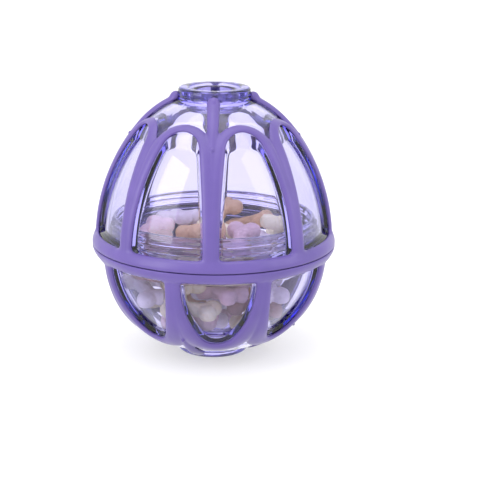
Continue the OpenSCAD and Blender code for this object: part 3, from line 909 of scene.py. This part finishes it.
def neck_ridge(r, turn, z):
    """The thread on the neck, whose heights are negative here. It fades at the foot and the top."""
    high = -z
    fade = np.clip((high - THREAD_FOOT) / THREAD_FADE, 0, 1)
    fade = fade * np.clip((NECK_H - THREAD_TOP - high) / THREAD_FADE, 0, 1)
    return np.where(r > NECK_R - NECK_MARGIN, thread_ridge(turn, high) * fade, 0)


# %% Make the two shells
def make_shell(kind, outline, first_turn, profile, ridge=None):
    points, faces = sector_skin(kind, outline)
    tile = add_mesh("sector_tile", points, faces)
    turned, turned_faces = sweep(profile, 2 * SECTORS * END_STEPS, first_turn, ridge)
    turned = turned * [MM, MM, outline.up * MM] + [0, 0, PARTING]
    shell = bake(
        add_mesh("turned_part", turned, turned_faces), kind + "_clear_shell", repeat_round,
        Tile=tile, Copies=SECTORS, First_turn=first_turn + PITCH / 2, Material=glass,
    )
    bpy.data.objects.remove(tile)
    close_up(shell)
    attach(shell, kind + "_half")
    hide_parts(kind + "_shell")


def parting_edge(inner_r, foot_r):
    """The flat edge where a half parts: its inner end, its middle and the shell's face."""
    return [(inner_r, 0.0), ((inner_r + foot_r) / 2, 0.0), (foot_r, 0.0)]


upper_foot_r = float(UPPER.place(0.0, FACE_INSET)[0])
upper_room_r = float(UPPER.place(0.0, ROOM_INSET)[0])
upper_profile = collar_profile("upper", UPPER) + inside_profile("upper", UPPER, ROOM_LOW_Z)
upper_profile += [
    (float(UPPER.place(UPPER.way_at_height(z, ROOM_INSET), ROOM_INSET)[0]), float(z))
    for z in np.arange(ROOM_LOW_Z - NECK_STEP, NECK_MARGIN, -NECK_STEP)
]
upper_profile += parting_edge(upper_room_r, upper_foot_r)
make_shell("upper", UPPER, 0.0, upper_profile)

lower_foot_r = float(LOWER.place(0.0, FACE_INSET)[0])
neck_top = NECK_ROUND - NECK_H
lower_profile = collar_profile("lower", LOWER) + inside_profile("lower", LOWER, FLANGE_T)
lower_profile += [((NECK_IN_R + lower_profile[-1][0]) / 2, FLANGE_T)]
lower_profile += [(NECK_IN_R, z) for z in np.linspace(FLANGE_T, neck_top, NECK_POINTS)]
lower_profile += round_corner(NECK_IN_R + NECK_ROUND, neck_top, NECK_ROUND, 180, 270)
lower_profile += round_corner(NECK_R - NECK_ROUND, neck_top, NECK_ROUND, 270, 360)[:-1]
lower_profile += [(NECK_R, z) for z in np.arange(neck_top, -NECK_MARGIN, NECK_STEP)]
lower_profile += parting_edge(NECK_R, lower_foot_r)
make_shell("lower", LOWER, LOWER_TURN, lower_profile, neck_ridge)

# %% [markdown]
# ## The gates and their prongs
# Each gate is a soft ring pushed into a collar, with a flange under the sleeve that holds it there,
# and four tapered prongs that reach in from its wall. The ring is a closed profile swept about the
# axis. A prong is a small field: blade, hinge bead and the web that joins them to the wall.

# %% Gate rings
TOP_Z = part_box("upper_shell")[1].z / MM
GATE_IN_R, GATE_OUT_R, GATE_FLANGE_R = 9.5, 11.7, 13.6
GATE_LIP, GATE_FLANGE, GATE_END = 1.2, 10.3, 11.7
# The ring's rounded edges, and the heights from which and up to which its walls are plain
GATE_IN_ROUND, GATE_FLANGE_ROUND, GATE_ROUND = 0.5, 0.6, 0.4
GATE_IN_TOP, GATE_IN_END, GATE_OUT_TOP, GATE_IN_POINTS = 3.2, 0.8, 5.8, 8
GATE_COLUMNS = 96


def closed_sweep(profile, columns):
    """The same sweep for a profile that closes on itself."""
    points, faces = sweep(profile, columns, 0.0)
    last = (len(profile) - 1) * columns
    faces += [(last + j, last + (j + 1) % columns, (j + 1) % columns, j) for j in range(columns)]
    return points, faces


def make_gate_ring(kind, body, up):
    lip_r = (GATE_OUT_R - GATE_IN_R) / 2
    profile = round_corner(GATE_IN_R + lip_r, -GATE_LIP - lip_r, lip_r, 0, 180)
    profile += [(GATE_IN_R, -z) for z in np.linspace(GATE_IN_TOP, GATE_END - GATE_IN_END, GATE_IN_POINTS)]
    profile += round_corner(GATE_IN_R + GATE_IN_ROUND, GATE_IN_ROUND - GATE_END, GATE_IN_ROUND, 180, 270)
    profile += round_corner(
        GATE_FLANGE_R - GATE_FLANGE_ROUND, GATE_FLANGE_ROUND - GATE_END, GATE_FLANGE_ROUND, 270, 360
    )
    profile += round_corner(GATE_FLANGE_R - GATE_ROUND, -GATE_FLANGE - GATE_ROUND, GATE_ROUND, 0, 90)
    profile += [
        (GATE_OUT_R + GATE_ROUND, -GATE_FLANGE), (GATE_OUT_R, GATE_ROUND - GATE_FLANGE),
        (GATE_OUT_R, -GATE_OUT_TOP),
    ]
    points, faces = closed_sweep(profile, GATE_COLUMNS)
    points = points * [MM, MM, up * MM] + [0, 0, TOP_Z * MM if up > 0 else 0]
    ring = bake(
        add_mesh("gate_start", points, faces), kind + "_gate_seat", repeat_round,
        Tile=None, Copies=1, First_turn=0.0, Material=gate_rubber,
    )
    close_up(ring)
    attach(ring, body)
    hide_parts(kind + "_gate_ring")


make_gate_ring("lower", "lower_half", -1)
make_gate_ring("upper", "upper_gate", 1)

# %% Prongs
PRONG_COUNT = 4
PRONG_DEPTH, PRONG_T = 5.6, 1.8
PRONG_ROOT_R, PRONG_ROOT_W, PRONG_TIP_R, PRONG_TIP_W = 7.745, 5.4, 4.7, 2.6
BLADE_ROUND, ROOT_ROUND = 0.6, 0.3
BEAD_R, BEAD_ROUND = 1.05, 0.4
WEB_MIDDLE_R, WEB_HALF, WEB_HALF_T, WEB_ROUND = 8.75, 1.05, 0.7, 0.2
PRONG_FILLET = 0.6
PRONG_CELL, PRONG_REACH = 0.27, ((-3.3, 3.4), (2.9, 10.4), (-1.5, 1.6))


def prong_field(x, y, z):
    """Distance from a prong that points to the axis. y is the radius, z the depth from its middle."""
    x = np.abs(x)
    widen = np.clip((y - PRONG_TIP_R) / (PRONG_ROOT_R - PRONG_TIP_R), 0, 1)
    side = x - PRONG_TIP_W / 2 - (PRONG_ROOT_W - PRONG_TIP_W) / 2 * widen
    plan = np.where(y < PRONG_TIP_R, np.hypot(x, y - PRONG_TIP_R) - PRONG_TIP_W / 2, side)
    across = x - PRONG_ROOT_W / 2
    blade = round_max(plan, np.abs(z) - PRONG_T / 2, BLADE_ROUND)
    blade = round_max(blade, y - PRONG_ROOT_R, ROOT_ROUND)
    bead = round_max(np.hypot(y - PRONG_ROOT_R, z) - BEAD_R, across, BEAD_ROUND)
    web = round_max(np.abs(z) - WEB_HALF_T, across, BEAD_ROUND)
    web = round_max(np.abs(y - WEB_MIDDLE_R) - WEB_HALF, web, WEB_ROUND)
    return soft_min(soft_min(blade, bead, PRONG_FILLET), web, PRONG_FILLET)


def prong_tile(middle_z):
    steps = [np.arange(low, high, PRONG_CELL) for low, high in PRONG_REACH]
    grid = np.meshgrid(*steps, indexing="ij")
    places, faces = surface_net(prong_field(*grid), grid)
    x, y, z = places.T
    return add_mesh("prong_tile", np.stack([x, -y, middle_z + z], 1) * MM, faces)


def make_prong(kind, number, first_turn, middle_z):
    turn = first_turn + number * 2 * PITCH
    tile = prong_tile(middle_z)
    prong = bake(
        add_mesh("prong_start", [], []), "%s_gate_prong_%d" % (kind, number + 1), repeat_round,
        Tile=tile, Copies=1, First_turn=turn, Material=gate_rubber,
    )
    bpy.data.objects.remove(tile)
    close_up(prong)
    body = "%s_prong_%d" % (kind, number + 1)
    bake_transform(prong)
    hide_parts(body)


for number in range(PRONG_COUNT):
    make_prong("lower", number, LOWER_TURN, PRONG_DEPTH)
    make_prong("upper", number, 0.0, TOP_Z - PRONG_DEPTH)

# %% [markdown]
# ## The biscuits
# The CAD model knows where each biscuit lies. Its centre and its three axes are read from its faces,
# weighted by their area, and handed to Geometry Nodes as points with a turn. The tree puts one
# baked bone at each point, sizes each a little differently, roughens them all and gives every
# biscuit a number of its own, which the dough uses for its shade.

# %% A biscuit's form
BONE_LOBE_X, BONE_LOBE_Y, BONE_LOBE_R, BONE_SHANK_R = 9.6, 3.9, 4.35, 3.75
BONE_SHANK_HALF, BONE_WAIST_HALF, BONE_WAIST_STEP = 7.2, 7, 0.25
BONE_FLAT, BONE_FILLET, BONE_EDGE_R = 4.0, 1.6, 1.8
BONE_CELL, BONE_REACH = 0.5, (14.9, 9.2, 5.1)


def bone_field(x, y, z):
    """Distance from a bone: four lobes, a waisted shank, and flattened faces."""
    x, y = np.abs(x), np.abs(y)
    lobe = np.sqrt((x - BONE_LOBE_X) ** 2 + (y - BONE_LOBE_Y) ** 2 + z ** 2) - BONE_LOBE_R
    waist = BONE_SHANK_R - BONE_WAIST_STEP * np.cos(np.clip(x / BONE_WAIST_HALF, 0, 1) * math.pi / 2)
    shank = np.sqrt(y ** 2 + z ** 2 + np.maximum(x - BONE_SHANK_HALF, 0) ** 2) - waist
    return round_max(soft_min(lobe, shank, BONE_FILLET), np.abs(z) - BONE_FLAT, BONE_EDGE_R)


def bone_tile():
    steps = [np.arange(-half, half + BONE_CELL, BONE_CELL) for half in BONE_REACH]
    grid = np.meshgrid(*steps, indexing="ij")
    places, faces = surface_net(bone_field(*grid), grid)
    return add_mesh("bone_tile", places * MM, faces)


# %% Where the biscuits lie
def biscuits_in(node_name):
    """Centre and turn of each loose biscuit in a CAD node."""
    work = bmesh.new()
    work.from_mesh(nodes[node_name].data)
    bmesh.ops.remove_doubles(work, verts=work.verts, dist=1e-6)
    work.faces.ensure_lookup_table()
    seen, found = set(), []
    for first in work.faces:
        if first.index in seen:
            continue
        seen.add(first.index)
        group, edge = [first], [first]
        while edge:
            for link in edge.pop().edges:
                for face in link.link_faces:
                    if face.index not in seen:
                        seen.add(face.index)
                        group.append(face)
                        edge.append(face)
        area = np.array([face.calc_area() for face in group])
        middle = np.array([face.calc_center_median() for face in group])
        centre = (middle * area[:, None]).sum(0) / area.sum()
        spread = (middle - centre) * np.sqrt(area)[:, None]
        axes = np.linalg.eigh(spread.T @ spread)[1][:, ::-1]
        if axes[2, 2] < 0:
            axes[:, 2] *= -1
        axes[:, 1] = np.cross(axes[:, 2], axes[:, 0])
        found.append((centre, Matrix(axes.tolist()).to_euler()))
    work.free()
    return found


# %% The biscuits' tree
BISCUIT_LEAST, BISCUIT_MOST = 0.955, 0.995
DENTS, CRUMB_SCALES = 0.0011, ((150.0, 1.0), (520.0, 0.45))
NOISE_MIDDLE = 0.55


def biscuit_tree():
    tree, given, result = new_tree("biscuits_on_points", [
        ("Bone", "Object"), ("Roughness", "Float"), ("Seed", "Int"), ("Material", "Material"),
    ])
    seed = given.outputs["Seed"]
    bone = node(tree, "GeometryNodeObjectInfo", object=given.outputs["Bone"])
    turn = node(tree, "GeometryNodeInputNamedAttribute", data_type="FLOAT_VECTOR", name="turn")
    rotation = node(tree, "FunctionNodeEulerToRotation", euler=turn.outputs["Attribute"])
    size = node(
        tree, "FunctionNodeRandomValue", data_type="FLOAT", min=BISCUIT_LEAST, max=BISCUIT_MOST, seed=seed
    )
    copies = node(
        tree, "GeometryNodeInstanceOnPoints", points=given.outputs["Geometry"],
        instance=bone.outputs["Geometry"], rotation=rotation.outputs[0], scale=size.outputs[1],
    )
    shade = node(tree, "FunctionNodeRandomValue", data_type="FLOAT", min=0.0, max=1.0, seed=seed)
    kept = node(
        tree, "GeometryNodeStoreNamedAttribute", data_type="FLOAT", domain="INSTANCE", name="batch",
        geometry=copies.outputs[0], value=shade.outputs[1],
    )
    real = node(tree, "GeometryNodeRealizeInstances", geometry=kept.outputs[0])
    place = node(tree, "GeometryNodeInputPosition")
    parts = []
    for scale, share in CRUMB_SCALES:
        noise = node(tree, "ShaderNodeTexNoise", vector=place.outputs[0], scale=scale, detail=2.0)
        level = math_node(tree, "SUBTRACT", noise.outputs[0], NOISE_MIDDLE)
        parts.append(math_node(tree, "MULTIPLY", level, share))
    rough = math_node(tree, "ADD", *parts)
    high = math_node(tree, "MULTIPLY", rough, given.outputs["Roughness"])
    normal = node(tree, "GeometryNodeInputNormal")
    offset = node(tree, "ShaderNodeVectorMath", operation="SCALE", vector=normal.outputs[0], scale=high)
    moved = node(tree, "GeometryNodeSetPosition", geometry=real.outputs[0], offset=offset.outputs[0])
    painted = node(
        tree, "GeometryNodeSetMaterial", geometry=moved.outputs[0], material=given.outputs["Material"]
    )
    tree.links.new(painted.outputs[0], result.inputs[0])
    return tree


# %% Make the biscuits
biscuits_on_points = biscuit_tree()
bone = bone_tile()


def make_biscuits(colour, seed, material):
    found = biscuits_in("biscuits_" + colour)
    points = add_mesh("biscuit_points", [centre for centre, _ in found], [])
    turn = points.data.attributes.new("turn", "FLOAT_VECTOR", "POINT")
    turn.data.foreach_set("vector", np.array([tuple(t) for _, t in found]).ravel())
    pile = bake(
        points, colour + "_bone_biscuits", biscuits_on_points,
        Bone=bone, Roughness=DENTS, Seed=seed, Material=material,
    )
    close_up(pile)
    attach(pile, "lower_half")
    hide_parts("biscuits_" + colour)


for seed, (colour, material) in enumerate(doughs.items()):
    make_biscuits(colour, seed, material)
bpy.data.objects.remove(bone)
